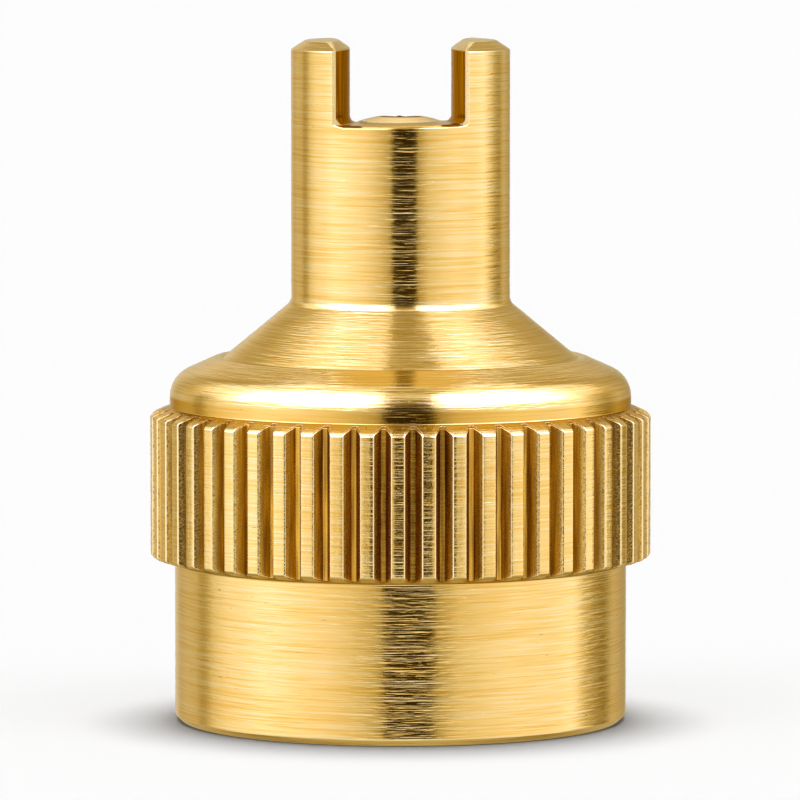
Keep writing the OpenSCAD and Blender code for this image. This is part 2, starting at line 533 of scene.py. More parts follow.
    def floor_height(self, spot: np.ndarray) -> np.ndarray:
        """Height of the slot's floor, higher to the right and falling behind.

        Within the boss it is the ball's top, sqrt(R squared - r squared) above
        the ball's centre, wherever that is higher.
        """
        s = self.size
        x, y = spot[..., 0], spot[..., 1]
        ball = (s.boss_r**2 + s.boss_h**2) / (2 * s.boss_h)
        reach = np.hypot(x, y)
        cap = np.sqrt(ball**2 - np.minimum(reach, s.boss_r) ** 2)
        dome = s.floor_z + s.boss_h - ball + cap
        plain = s.floor_z + tan(s.floor_tilt) * x - tan(s.floor_fall) * np.maximum(y, 0)
        return np.where(reach <= s.boss_r, np.maximum(dome, plain), plain)

    def bevel_heights(self, spot: np.ndarray) -> tuple:
        """Heights of the prong's outer and inner bevels at a place."""
        s = self.size
        reach = np.hypot(spot[..., 0], spot[..., 1])
        outside = s.tip_z - s.tip_bevel_h * (1 - (s.neck_r - reach) / s.tip_bevel_w)
        deep = spot[..., 0] - self.wall_x(spot[..., 1])
        return outside, s.tip_z - s.tip_inner_h * (1 - deep / s.tip_inner_w)

    def prong_rows(self, turn: np.ndarray) -> tuple:
        """Rows of the prong on +X: up its outside, over its tip, down its inside.

        A point on top lies between the outer point (r cos a, r sin a) and the
        wall's point at the same share of the width. The tip's height is the
        lowest of the tip, the outer bevel's cone and the inner bevel's plane.

        Args:
            turn: Angles of the prong's columns from +X.

        Returns:
            Places, shape (rows, columns, 3), each row's marks, and how many
            rows lead up to the tip on either side.
        """
        s = self.size
        outer = s.neck_r * np.stack([np.cos(turn), np.sin(turn)], axis=-1)
        y = self.wall_y(turn)
        inner = np.stack([self.wall_x(y), y], axis=-1)

        # the tip's flat begins and ends where it is lower than the bevels
        tries, least_half = 801, 0.08
        share = np.linspace(0, 1, tries)
        spots = outer[:, None, :] + (inner - outer)[:, None, :] * share[None, :, None]
        outside, inside = self.bevel_heights(spots)
        first = share[np.argmax(outside >= np.minimum(s.tip_z, inside), axis=1)]
        from_end = np.argmax((inside >= np.minimum(s.tip_z, outside))[:, ::-1], axis=1)
        last = share[tries - 1 - from_end]
        middle = (first + last) / 2
        half = np.maximum((last - first) / 2, least_half)

        def on_top(where: np.ndarray) -> np.ndarray:
            """The tip's surface at a share of the way in."""
            spot = outer + (inner - outer) * where[:, None]
            low = np.minimum(*self.bevel_heights(spot))
            return np.column_stack([spot, np.minimum(low, s.tip_z)])

        def stand(spot: np.ndarray, z: float) -> np.ndarray:
            """A place at a height."""
            return np.column_stack([spot, np.full(len(spot), z)])

        fillet = s.slot_fillet
        bend = np.radians(self.bends)
        levels = s.floor_z + fillet * (1 - np.cos(bend))
        up = [stand(outer, z) for z in (*levels, s.floor_z + fillet)]
        down = []
        for z, back in zip(levels, 1 - np.sin(bend)):
            spot = inner * [1, 1 - s.draw_along * back] - [fillet * back, 0]
            drop = self.floor_height(spot) - s.floor_z
            down.append(np.column_stack([spot, z + drop * back]))
        down.append(stand(inner, s.floor_z + fillet))
        half_way = s.floor_z + 0.8
        top, edge = eased(
            [
                stand(outer, half_way),
                stand(outer, s.tip_z - s.tip_bevel_h),
                on_top(middle - half),
                on_top(middle + half),
                stand(inner, s.tip_z - s.tip_inner_h),
                stand(inner, half_way),
            ],
            [0, s.ease, s.tip_ease, s.tip_ease, s.ease, 0],
        )
        rows = np.concatenate([np.stack(up), top, np.stack(down[::-1])])
        marks = np.zeros((len(rows), len(Mark)))
        marks[len(up) : -len(down), EDGE] = edge
        marks[-len(down) - 2 :, RECESS] = 1
        return rows, marks, len(up) + 2

    def turned_round(self, places: np.ndarray) -> np.ndarray:
        """The prong's places on -X, its fillet let down onto the floor there."""
        s = self.size
        other = places * [-1, -1, 1]
        foot = slice(-len(self.bends) - 1, None)
        drop = self.floor_height(other[foot]) - self.floor_height(places[foot])
        share = (s.floor_z + s.slot_fillet - other[foot, :, 2:].max(axis=1)) / s.slot_fillet
        other[foot, :, 2] += drop * np.clip(share, 0, 1)
        return other

    def prongs(self, neck_angles: np.ndarray, at: np.ndarray) -> list:
        """Both prongs, the one on +X first.

        Args:
            neck_angles: The columns' angles at the neck.
            at: The column at each of the fork's corners.

        Returns:
            The prongs.
        """
        made = []
        for k, (first, last) in enumerate((at[:2], at[2:])):
            columns = self.between(first, last, neck_angles.size)
            turn = np.angle(np.exp(1j * (neck_angles[columns] - k * math.pi)))
            places, marks, rise = self.prong_rows(turn)
            if k:
                places = self.turned_round(places)
            made.append(Prong(columns, turn, places, marks, rise))
        return made

    @staticmethod
    def between(first: int, last: int, count: int) -> np.ndarray:
        """Columns from the first to the last, over the seam where need be."""
        return np.arange(first, last + (count if last < first else 0) + 1) % count

    def outside(self, neck_angles: np.ndarray, at: np.ndarray) -> tuple:
        """Rows from the inside roof round the foot and up to the slot's floor.

        Args:
            neck_angles: The columns' angles at the neck.
            at: The column at each of the fork's corners.

        Returns:
            Places, shape (rows, columns, 3), and their marks.
        """
        s = self.size
        angles, grip, across = self.tooth_columns()
        profile, row_edge = self.lower_rows(grip)
        radius, height = profile[..., 0], profile[..., 1]

        # only the neck's fillet has the fork's columns; the rest has the teeth's
        groove_fade, corner_fade, beyond, near, slack = 0.04, 0.12, 0.1, 0.03, 0.01
        turn = np.tile(angles, (len(profile), 1))
        turn[-self.fillet_rows :] = neck_angles
        on_grip = radius > s.shoulder_r + beyond
        in_groove = np.clip((s.grip_r - grip) / groove_fade, 0, 1)
        marks = np.zeros((*radius.shape, len(Mark)))
        marks[..., EDGE] = row_edge[:, None] * np.where(on_grip, 1 - in_groove, 1)
        marks[..., TOOTH] = np.where(on_grip, across, 0)
        marks[..., RECESS] = np.where(on_grip, in_groove, 0)
        marks[: self.hidden_rows, :, RECESS] = 1
        above = height[:, 0] - s.grip_top
        on_wall = (above > -slack) & (above < s.shoulder_wall_h + slack)
        on_wall &= abs(radius[:, 0] - s.shoulder_r) < near
        marks[on_wall, :, RECESS] = self.wall_recess

        # the neck's top: a small bevel along the slot's floor, none at the prongs
        local = np.abs(np.angle(np.exp(1j * neck_angles)))
        corner = local[at[0]]
        off = np.minimum(np.abs(local - corner), np.abs(math.pi - local - corner))
        in_slot = (local > corner) & (local < math.pi - corner)
        grown = np.clip(off / corner_fade, 0, 1) * in_slot
        bevel = s.rim_bevel * grown
        x, y = s.neck_r * np.cos(neck_angles), s.neck_r * np.sin(neck_angles)
        rim_z = s.floor_z - tan(s.floor_fall) * np.maximum(y, 0) + tan(s.floor_tilt) * x * grown
        wall_z = rim_z - np.maximum(bevel, s.fine_ease)
        tops = [
            polar(s.neck_r, neck_angles, s.floor_z - 0.35),
            polar(s.neck_r, neck_angles, wall_z - s.fine_ease),
            polar(s.neck_r, neck_angles, wall_z),
            polar(s.neck_r - bevel, neck_angles, rim_z),
        ]
        top_marks = np.zeros((len(tops), angles.size, len(Mark)))
        top_marks[-2:, :, RECESS] = grown * self.rim_recess
        lower = polar(radius, turn, height)
        return np.concatenate([lower, np.stack(tops)]), np.concatenate([marks, top_marks])

    def inside(self, count: int, prongs: list, gaps: list) -> tuple:
        """Rows of the slot's floor, in to the boss, over it and down the hole.

        Args:
            count: How many columns there are.
            prongs: The prongs, whose fillets' feet bound the floor.
            gaps: The columns between the prongs.

        Returns:
            Places, shape (rows, columns, 3), their marks, and the height of
            the hole's point.
        """
        s = self.size
        foot = np.zeros((count, 2))
        for side, prong in zip((1, -1), prongs):
            y = self.wall_y(prong.turn)
            spot = np.column_stack([self.wall_x(y) - s.slot_fillet, y * (1 - s.draw_along)])
            foot[prong.columns] = side * spot
        for gap in gaps:
            ends = foot[gap[[0, -1]]]
            turn_a, turn_b = np.arctan2(ends[:, 1], ends[:, 0])
            turn_b += FULL_TURN if turn_b < turn_a else 0
            along = np.linspace(turn_a, turn_b, gap.size)
            foot[gap] = np.hypot(*ends[0]) * np.column_stack([np.cos(along), np.sin(along)])
        reach = np.hypot(*foot.T)
        way = foot / reach[:, None]

        lip, drop, shares = s.boss_r + 0.012, 0.006, (0, 0.12, 0.4, 0.7)
        radii = [reach + (lip - reach) * share for share in shares]
        for ring in (lip, *np.linspace(s.boss_r, s.hole_r + s.fine_ease, 8)):
            radii.append(np.full(count, ring))
        flat = np.stack(radii)[..., None] * way
        floor = np.concatenate([flat, self.floor_height(flat)[..., None]], axis=-1)

        rim = floor[-1, :, 2]
        deep = s.floor_z - s.hole_h
        ease, drill = s.fine_ease, tan(s.drill_slope)
        hole = (
            (s.hole_r + drop, rim - drop),
            (s.hole_r, rim - ease),
            (s.hole_r, deep + ease),
            (s.hole_r - ease, deep),
            (s.hole_r / 2, deep - (s.hole_r / 2 - ease) * drill),
        )
        down = [np.column_stack([way * r, np.full(count, height)]) for r, height in hole]
        places = np.concatenate([floor, np.stack(down)])
        marks = np.zeros((*places.shape[:2], len(Mark)))
        marks[len(floor) - 1 : len(floor) + 2, :, EDGE] = self.hole_edge
        marks[: len(shares), :, RECESS] = self.floor_recess
        marks[len(floor) + 2 :, :, RECESS] = 1
        return places, marks, deep - (s.hole_r - ease) * drill

    def build(self) -> bpy.types.Object:
        """Makes the cap's closed skin.

        Returns:
            The cap's object.
        """
        angles = self.tooth_columns()[0]
        neck_angles, at = self.sector_columns(angles)
        gaps = [self.between(at[1], at[2], angles.size), self.between(at[3], at[0], angles.size)]
        prongs = self.prongs(neck_angles, at)
        inside, inside_marks, point_z = self.inside(angles.size, prongs, gaps)
        skin = Skin()
        out_index = skin.keep(*self.outside(neck_angles, at))
        in_index = skin.keep(inside, inside_marks)
        skin.faces += [grid_faces(out_index, True), grid_faces(in_index, True)]
        skin.fan(self.size.roof_z, out_index[0, ::-1])
        skin.fan(point_z, in_index[-1])
        for prong, gap in zip(prongs, gaps):
            values = np.repeat(prong.marks[:, None, :], prong.columns.size, axis=1)
            values[:, [0, -1], EDGE] = self.corner_edge
            index = skin.keep(prong.places, values)
            index = np.concatenate(
                [out_index[-1:, prong.columns], index, in_index[:1, prong.columns]]
            )
            skin.faces.append(grid_faces(index))
            # the cut corners: a strip up each side and one face at the tip
            for end, flip in ((-1, False), (0, True)):
                line = index[:, end]
                rise, fall = line[: prong.rise + 1], line[::-1][: prong.rise + 1]
                strip = np.stack([rise[1:], rise[:-1], fall[:-1], fall[1:]], axis=-1)
                crown = line[prong.rise : len(line) - prong.rise][::-1]
                skin.faces.append(strip[:, ::-1] if flip else strip)
                skin.odd.append((crown[::-1] if flip else crown).tolist())
            skin.faces.append(grid_faces(np.stack([out_index[-1, gap], in_index[0, gap]])))
        return skin.make(Piece.CAP.value)

    def dress(self, piece: bpy.types.Object, material: bpy.types.Material) -> None:
        """Gives the cap its finish, smooth shading and its place in the frame."""
        piece.data.materials.append(material)
        smooth_by_area(piece)
        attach(piece, "root")
        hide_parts("cap_body")


@dataclass
class InsideThread:
    """The right-hand thread inside the bore, a ridge wound up the wall."""

    pitch: float = 0.794
    crest_r: float = 3.444
    wall_r: float = 3.86
    root_r: float = 3.9
    half_root: float = 0.347
    half_crest: float = 0.1
    low_z: float = 0.62
    high_z: float = 4.95
    around: int = 96
    sharp: float = 28.0

    def build(self) -> bpy.types.Object:
        """Makes the ridge: a six-cornered section carried up a helix.

        A point is (r cos a, r sin a, low + pitch a / 2 pi + h), where r and h
        are the section's. The ridge grows from nothing over its first half
        turn and sinks back over its last.

        Returns:
            The thread's object.
        """
        turns = (self.high_z - self.low_z) / self.pitch
        steps = int(turns * self.around)
        turn = np.linspace(0, turns * FULL_TURN, steps)[:, None]
        ramp = np.clip(np.minimum(turn, turn[-1] - turn) / math.pi, 0.02, 1)
        grow = np.sin(ramp * math.pi / 2)
        side_r, side_h = self.crest_r + 0.02, self.half_crest + 0.01
        radius = np.array([self.root_r, self.wall_r, side_r, self.crest_r, side_r, self.wall_r])
        height = np.array([0.0, -self.half_root, -side_h, 0.0, side_h, self.half_root])
        r = self.root_r - (self.root_r - radius) * grow
        z = self.low_z + self.pitch * turn / FULL_TURN + height * (0.25 + 0.75 * grow)
        places = polar(r, turn, z)
        index = np.arange(steps * radius.size).reshape(steps, radius.size)
        faces = grid_faces(index, True)[:, ::-1].tolist()
        faces += [index[0].tolist(), index[-1][::-1].tolist()]
        # every point of the thread has the recess mark, so the brass gives it full painted shade
        marks = np.broadcast_to([0.0, 0.0, 1.0], (index.size, len(Mark)))
        return make_piece(Piece.THREAD.value, places.reshape(-1, 3), faces, marks)

    def dress(self, piece: bpy.types.Object, material: bpy.types.Material) -> None:
        """Gives the thread the cap's brass and its place in the frame."""
        piece.data.materials.append(material)
        piece.data.polygons.foreach_set("use_smooth", [True] * len(piece.data.polygons))
        piece.data.set_sharp_from_angle(angle=math.radians(self.sharp))
        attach(piece, "root")


@dataclass
class SealingWasher:
    """The rubber washer pressed into its recess; the solid is shown as it is."""

    node: str = "sealing_washer"

    def dress(self, material: bpy.types.Material) -> None:
        """Gives the washer's solid its rubber."""
        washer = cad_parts[self.node]
        washer.data.materials.clear()
        washer.data.materials.append(material)


# ---------------------------------------------------------------------------
# Finishes
# ---------------------------------------------------------------------------


@dataclass
class Bench:
    """A node tree and short ways to add to it."""

    tree: bpy.types.NodeTree

    def add(self, kind: str, **settings: object) -> bpy.types.Node:
        """Adds a node and sets its own properties."""
        node = self.tree.nodes.new(kind)
        for name, value in settings.items():
            setattr(node, name, value)
        return node

    def feed(self, socket: Socket, value: object) -> None:
        """Links a socket to the input, or sets the input's own value."""
        if isinstance(value, bpy.types.NodeSocket):
            self.tree.links.new(value, socket)
        else:
            socket.default_value = value

    def shade(self, values: dict) -> None:
        """Feeds the surface shader's inputs by their names."""
        inputs = self.tree.nodes["Principled BSDF"].inputs
        for name, value in values.items():
            self.feed(inputs[name], value)

    def here(self) -> Socket:
        """Object coordinates."""
        return self.add("ShaderNodeTexCoord").outputs["Object"]

    def split(self, place: Socket) -> tuple:
        """The three parts of a place."""
        node = self.add("ShaderNodeSeparateXYZ")
        self.feed(node.inputs[0], place)
        return tuple(node.outputs)

    def math(self, operation: str, *values: object) -> Socket:
        """A Math node of the given operation on one or two values."""
        node = self.add("ShaderNodeMath", operation=operation)
        for socket, value in zip(node.inputs, values):
            self.feed(socket, value)
        return node.outputs[0]

    def times(self, first: object, *others: object) -> Socket:
        """The product of the values."""
        for other in others:
            first = self.math("MULTIPLY", first, other)
        return first

    def plus(self, first: object, *others: object) -> Socket:
        """The sum of the values."""
        for other in others:
            first = self.math("ADD", first, other)
        return first

    def off(self, value: object, centre: float) -> Socket:
        """How far a value is from a centre."""
        return self.math("ABSOLUTE", self.math("SUBTRACT", value, centre))

    def remap(
        self, value: object, low: float, high: float, to_low: float = 0.0, to_high: float = 1.0
    ) -> Socket:
        """Moves a value from one range to another, held at the ends."""
        node = self.add("ShaderNodeMapRange", clamp=True)
        for socket, number in zip(node.inputs, (value, low, high, to_low, to_high)):
            self.feed(socket, number)
        return node.outputs[0]

    def blend(self, share: object, first: object, second: object) -> Socket:
        """A colour between two colours."""
        node = self.add("ShaderNodeMix", data_type="RGBA")
        for number, value in zip((0, 6, 7), (share, first, second)):
            self.feed(node.inputs[number], value)
        return node.outputs[2]

    def noise(
        self, place: object, scale: float, detail: float, rough: float, turn: object = None
    ) -> Socket:
        """A noise value; with a turn it is four-dimensional."""
        node = self.add("ShaderNodeTexNoise", noise_dimensions="3D" if turn is None else "4D")
        self.feed(node.inputs["Vector"], place)
        if turn is not None:
            self.feed(node.inputs["W"], turn)
        for name, value in (("Scale", scale), ("Detail", detail), ("Roughness", rough)):
            node.inputs[name].default_value = value
        return node.outputs["Fac"]

    def bump(self, height: Socket, relief: float) -> Socket:
        """The normal of a relief, in metres for a height of 1."""
        node = self.add("ShaderNodeBump")
        for name, value in (("Strength", 1.0), ("Distance", relief), ("Height", height)):
            self.feed(node.inputs[name], value)
        return node.outputs[0]


def new_material(name: str) -> tuple:
    """Makes a material.

    Args:
        name: The material's name.

    Returns:
        The material and a bench for its nodes.
    """
    material = bpy.data.materials.new(name)
    material.use_nodes = True
    return material, Bench(material.node_tree)


# each mark of the lathe: its share of the dashes' length, the noise's scale,
# detail and roughness, and the noise values at which it is 0 and 1
LATHE_MARKS = {
    "Fine": (0.5, 1.0, 1.5, 0.6, 0.3, 0.7),
    "Broad": (1.0, 0.22, 2.0, 0.5, 0.32, 0.68),
    "Wobble": (0.12, 0.7, 1.5, 0.55, 0.3, 0.7),
    "Light": (1.0, 1.3, 1.0, 0.6, 0.53, 0.62),
    "Dark": (1.0, 1.3, 1.0, 0.6, 0.45, 0.36),
    "Pit": (0.12, 1.2, 1.0, 0.5, 0.26, 0.21),
}


def turning_marks() -> bpy.types.NodeTree:
    """The marks that a lathe tool leaves, as a node group.

    Rings of the same radius and height share a value, so a mark follows the
    turning, and it fades slowly along the ring. The place read by the noise is
    (r / spacing, z / spacing, x / length) with y / length as the fourth. Light
    and dark dashes are where one noise is near its highest and its lowest.

    Returns:
        The group, with an output from 0 to 1 for each of the lathe's marks.
    """
    tree = bpy.data.node_groups.new("turning_marks", "ShaderNodeTree")
    tree.interface.new_socket("Place", in_out="INPUT", socket_type="NodeSocketVector")
    for name, value in (("Spacing", 0.0001), ("Length", 0.0025)):
        socket = tree.interface.new_socket(name, in_out="INPUT", socket_type="NodeSocketFloat")
        socket.default_value = value
    for name in LATHE_MARKS:
        tree.interface.new_socket(name, in_out="OUTPUT", socket_type="NodeSocketFloat")
    bench = Bench(tree)
    given = bench.add("NodeGroupInput").outputs
    out = bench.add("NodeGroupOutput").inputs
    x, y, z = bench.split(given["Place"])
    reach = bench.math("SQRT", bench.plus(bench.times(x, x), bench.times(y, y)))
    ring = bench.math("DIVIDE", reach, given["Spacing"])
    rise = bench.math("DIVIDE", z, given["Spacing"])

    @cache
    def along(share: float) -> tuple:
        """The noise's place with dashes of a share of the length."""
        place = bench.add("ShaderNodeCombineXYZ")
        length = bench.times(given["Length"], share)
        for socket, value in zip(place.inputs, (ring, rise, bench.math("DIVIDE", x, length))):
            bench.feed(socket, value)
        return place.outputs[0], bench.math("DIVIDE", y, length)

    @cache
    def noise(share: float, scale: float, detail: float, rough: float) -> Socket:
        """One noise, made once for the marks that share it."""
        place, turn = along(share)
        return bench.noise(place, scale, detail, rough, turn)

    for name, (*kind, low, high) in LATHE_MARKS.items():
        bench.feed(out[name], bench.remap(noise(*kind), low, high))
    return tree


@dataclass(frozen=True)
class BrassFinish:
    """Bright turned brass: rings and knurled teeth, with painted shade in the grooves and recesses
    and painted highlights on the edges.

    A tooth's crest ends at crest_end of the way to the groove's middle.
    """

    bright: tuple = (0.98, 0.67, 0.24, 1.0)
    deep: tuple = (0.93, 0.58, 0.16, 1.0)
    worn_and_highlight: tuple = (1.0, 0.86, 0.52, 1.0)
    amber: tuple = (0.8, 0.43, 0.04, 1.0)
    brown: tuple = (0.34, 0.15, 0.008, 1.0)
    graze: tuple = (0.98, 0.9, 0.78, 1.0)
    graze_shaded: tuple = (0.6, 0.34, 0.06, 1.0)
    spacing: float = 0.000045
    roughness: tuple = (0.08, 0.14)
    relief: float = 1.0e-6
    crest_end: float = 0.433
    heights: tuple = (("Broad", 1.0), ("Wobble", 2.6), ("Light", 0.7), ("Dark", -0.5))

    def shaded_recesses(
        self, bench: Bench, place: Socket, tooth: Socket, recess: Socket, colour: Socket
    ) -> Socket:
        """The colour with painted shade, streaked amber and brown, down the grooves and walls.

        A wall that lies less deep than 0.7 is plain amber.

        Args:
            bench: The material's bench.
            place: Object coordinates.
            tooth: Place across a tooth.
            recess: How far a point lies in a recess.
            colour: The metal's colour before the painted shade.

        Returns:
            The colour after the painted shade.
        """
        squeeze = bench.add("ShaderNodeVectorMath", operation="MULTIPLY")
        bench.feed(squeeze.inputs[0], place)
        squeeze.inputs[1].default_value = (1.0, 1.0, 0.05)
        streak = bench.remap(bench.noise(squeeze.outputs[0], 11000.0, 2.0, 0.6), 0.38, 0.62)
        off_grip = bench.remap(tooth, 0.02, 0.0)
        shallow = bench.times(off_grip, bench.remap(recess, 0.9, 0.7))
        # the painted shade's colour: brown, or amber where streaked or on shallow walls
        shade_tone = bench.blend(bench.math("MAXIMUM", streak, shallow), self.brown, self.amber)
        depth = bench.remap(tooth, self.crest_end, 0.75, 0.5, 0.9)
        in_groove = bench.times(bench.remap(tooth, 0.4, 0.44), depth)
        share = bench.times(recess, bench.plus(in_groove, bench.times(off_grip, 0.85)))
        return bench.blend(share, colour, shade_tone)

    def build(self, marks: bpy.types.NodeTree) -> bpy.types.Material:
        """Makes the material from the turning marks.

        Args:
            marks: The turning marks' node group.

        Returns:
            The brass.
        """
        material, bench = new_material("turned_brass")
        place = bench.here()
        group = bench.add("ShaderNodeGroup", node_tree=marks)
        bench.feed(group.inputs["Place"], place)
        group.inputs["Spacing"].default_value = self.spacing
        rings = group.outputs
        edge, tooth, recess = (
            bench.add("ShaderNodeAttribute", attribute_name=mark.value).outputs["Fac"]
            for mark in Mark
        )
        grain = bench.noise(place, 16000.0, 2.0, 0.6)
        on_crest = bench.times(bench.remap(tooth, 0.05, 0.1), bench.remap(tooth, 0.42, 0.38))
        in_groove = bench.times(recess, bench.remap(tooth, 0.4, 0.44))

        cloud = bench.remap(bench.noise(place, 420.0, 3.0, 0.6), 0.35, 0.65)
        tone = bench.times(bench.plus(cloud, rings["Broad"]), 0.5)
        colour = bench.blend(tone, self.deep, self.bright)
        colour = bench.blend(bench.times(rings["Light"], 0.35), colour, self.worn_and_highlight)
        colour = bench.blend(bench.times(rings["Dark"], 0.5), colour, self.amber)
        # painted shade in the grooves, on the slot's walls and inside the cap
        colour = self.shaded_recesses(bench, place, tooth, recess, colour)

        # the teeth's edges: a painted highlight line, broken by dots of painted shadow beside it;
        # the pits darken too, and rounded edges get the painted highlight
        line = bench.remap(bench.off(tooth, self.crest_end), 0.06, 0.02)
        edge_shadow = bench.remap(bench.off(tooth, self.crest_end + 0.05), 0.05, 0.02)
        edge_shadow = bench.times(edge_shadow, bench.remap(grain, 0.5, 0.62), 0.8)
        pits_and_shadow = bench.math("MAXIMUM", edge_shadow, bench.times(rings["Pit"], 0.6))
        colour = bench.blend(pits_and_shadow, colour, self.brown)
        shine = bench.times(bench.math("MAXIMUM", edge, line), 0.6)
        colour = bench.blend(shine, colour, self.worn_and_highlight)

        scatter = bench.plus(
            bench.remap(rings["Fine"], 0.0, 1.0, *self.roughness),
            bench.times(rings["Light"], 0.08),
            bench.times(on_crest, 0.05),
            bench.times(in_groove, 0.16),
        )

        rough_cut = bench.plus(
            bench.times(rings["Fine"], 2.2),
            *(bench.times(rings[name], share) for name, share in self.heights),
        )
        height = bench.plus(
            bench.times(rough_cut, bench.remap(recess, 0.0, 1.0, 1.0, 0.3)),
            bench.times(rings["Pit"], -1.5),
            bench.times(grain, 0.6),
            bench.times(bench.noise(place, 6500.0, 3.0, 0.65), on_crest, 7.0),
        )
        bench.shade({
            "Base Color": colour,
            "Metallic": 1.0,
            # painted shade: the grazing reflection turns amber in recesses
            "Specular Tint": bench.blend(recess, self.graze, self.graze_shaded),
            "Roughness": scatter,
            "Normal": bench.bump(height, self.relief),
        })
        return material


@dataclass(frozen=True)
class RubberFinish:
    """Matt black rubber with a fine grain and a little dust."""

    dark: tuple = (0.014, 0.014, 0.015, 1.0)
    dusty: tuple = (0.045, 0.044, 0.042, 1.0)
    relief: float = 1.5e-5

    def build(self) -> bpy.types.Material:
        """Makes the material from two sizes of noise."""
        material, bench = new_material("black_rubber")
        place = bench.here()
        grain = bench.noise(place, 14000.0, 3.0, 0.6)
        cloud = bench.remap(bench.noise(place, 900.0, 3.0, 0.6), 0.4, 0.7)
        bench.shade({
            "Base Color": bench.blend(cloud, self.dark, self.dusty),
            "Roughness": bench.remap(grain, 0.3, 0.7, 0.55, 0.75),
            "Normal": bench.bump(grain, self.relief),
        })
        return material


# ---------------------------------------------------------------------------
# Studio
# ---------------------------------------------------------------------------


@dataclass
class Studio:
    """Camera, floor, lamps and the light tent that the metal mirrors."""

    distance: float = 160.0
    height: float = 20.31
    aim: tuple = (0.0, 0.0, 7.043)
    pixels_per_mm: float = 45.469
    shift: float = -0.000625
    picture: float = 800.0
    tent_r: float = 2.0
    floor_half: float = 1900.0

    # each lamp's name, tilt, turn and strength
    lamp_table: tuple = (("top", 5, 180, 2.35), ("left", 38, -50, 0.2), ("right", 34, 60, 0.2))

    # the tent's brightness by azimuth from the camera, to the right positive:
    # low up to 13 degrees, side from 30 to 64 and top above 78, joined between
    low_stops: tuple = (
        (-180, 0.6), (-168, 0.72), (-152, 0.55), (-140, 0.64), (-128, 0.62), (-122, 0.42),
        (-117, 0.5), (-110, 0.84), (-100, 1.03), (-88, 1.12), (-76, 1.28), (-64, 1.26),
        (-50, 1.14), (-38, 1.03), (-28, 0.88), (-20, 0.72), (-10, 0.5), (20, 0.48),
        (30, 0.8), (42, 0.94), (60, 1.08), (82, 1.08), (90, 1.14), (98, 1.24),
        (104, 1.1), (111, 0.9), (117, 0.62), (127, 0.42), (139, 0.62), (150, 0.52),
        (162, 0.43), (180, 0.6),
    )
    side_stops: tuple = (
        (-180, 1.1), (-170, 0.9), (-163, 0.5), (-147, 0.5), (-139, 0.68), (-134, 1.0),
        (-127, 1.35), (-112, 1.35), (-100, 2.4), (-86, 3.2), (-24, 3.2), (-12, 1.6),
        (20, 1.6), (30, 3.2), (86, 3.2), (100, 2.4), (112, 1.35), (127, 1.35),
        (134, 1.0), (139, 0.68), (147, 0.5), (163, 0.5), (170, 0.9), (180, 1.1),
    )
    top_stops: tuple = ((-180, 1.15), (-120, 1.3), (-60, 1.5), (60, 1.5), (120, 1.3), (180, 1.15))

    def camera(self) -> None:
        """Sets the camera at the photograph's angle, with its frame."""
        place = Vector((0.0, -self.distance, self.height)) * MM
        away = Vector(self.aim) * MM - place
        data = bpy.data.cameras.new("camera")
        data.sensor_width = 36.0
        data.lens = self.pixels_per_mm * data.sensor_width * away.length / MM / self.picture
        data.shift_x = self.shift
        data.clip_start, data.clip_end = 0.01, 20.0
        camera = bpy.data.objects.new("camera", data)
        camera.location = place
        camera.rotation_mode = "QUATERNION"
        camera.rotation_quaternion = away.to_track_quat("-Z", "Y")
        bpy.context.scene.collection.objects.link(camera)
        bpy.context.scene.camera = camera

    def ramp(self, bench: Bench, share: Socket, stops: tuple) -> Socket:
        """A colour ramp over the azimuth, in shares of a full turn."""
        node = bench.add("ShaderNodeValToRGB")
        node.color_ramp.interpolation = "LINEAR"
        elements = node.color_ramp.elements
        while len(elements) > 1:
            elements.remove(elements[-1])
        for k, (degrees, level) in enumerate(stops):
            element = elements[0] if k == 0 else elements.new((degrees + 180) / 360)
            element.position = (degrees + 180) / 360
            element.color = (level, level, level, 1.0)
        bench.feed(node.inputs[0], share)
        return node.outputs[0]

    def card_light(self, bench: Bench, place: Socket) -> Socket:
        """Brightness of the tent toward a place on it.

        The ramps follow the azimuth and are joined by height. A dark card
        stands low on the right, and a pair of bright cards hangs high behind.
        A dark strip runs up in front, between two planes across X, over the
        zenith and a little way down behind. Below the strip is the white
        table, in shade straight below the cap.

        Args:
            bench: The tent material's bench.
            place: Object coordinates on the tent.

        Returns:
            The brightness.
        """
        x, y, z = (bench.math("DIVIDE", part, self.tent_r) for part in bench.split(place))
        turn = bench.math("ARCTAN2", x, bench.times(y, -1.0))
        share = bench.plus(bench.math("DIVIDE", turn, FULL_TURN), 0.5)
        low, side, top = (
            self.ramp(bench, share, stops)
            for stops in (self.low_stops, self.side_stops, self.top_stops)
        )
        level = bench.blend(bench.remap(z, 0.22, 0.5), low, side)
        level = bench.blend(bench.remap(z, 0.9, 0.98), level, top)

        card_turn, card_edge, card_core = (math.radians(angle) for angle in (118, 18, 9))
        darkening, pair_level = 0.42, 1.7
        across = bench.remap(bench.off(turn, card_turn), card_edge, card_core)
        card = bench.times(across, darkening, bench.remap(z, -0.07, -0.09))
        level = bench.blend(card, level, (0.0, 0.0, 0.0, 1.0))

        aside = bench.math("ABSOLUTE", x)
        lean = bench.math("DIVIDE", y, bench.math("MAXIMUM", z, 0.1))
        pair = bench.times(
            bench.remap(aside, 0.07, 0.12),
            bench.remap(aside, 0.38, 0.32),
            bench.remap(lean, 0.36, 0.44),
            bench.remap(lean, 0.78, 0.68),
            bench.remap(z, 0.7, 0.75),
        )
        level = bench.blend(pair, level, (pair_level, pair_level, pair_level, 1.0))

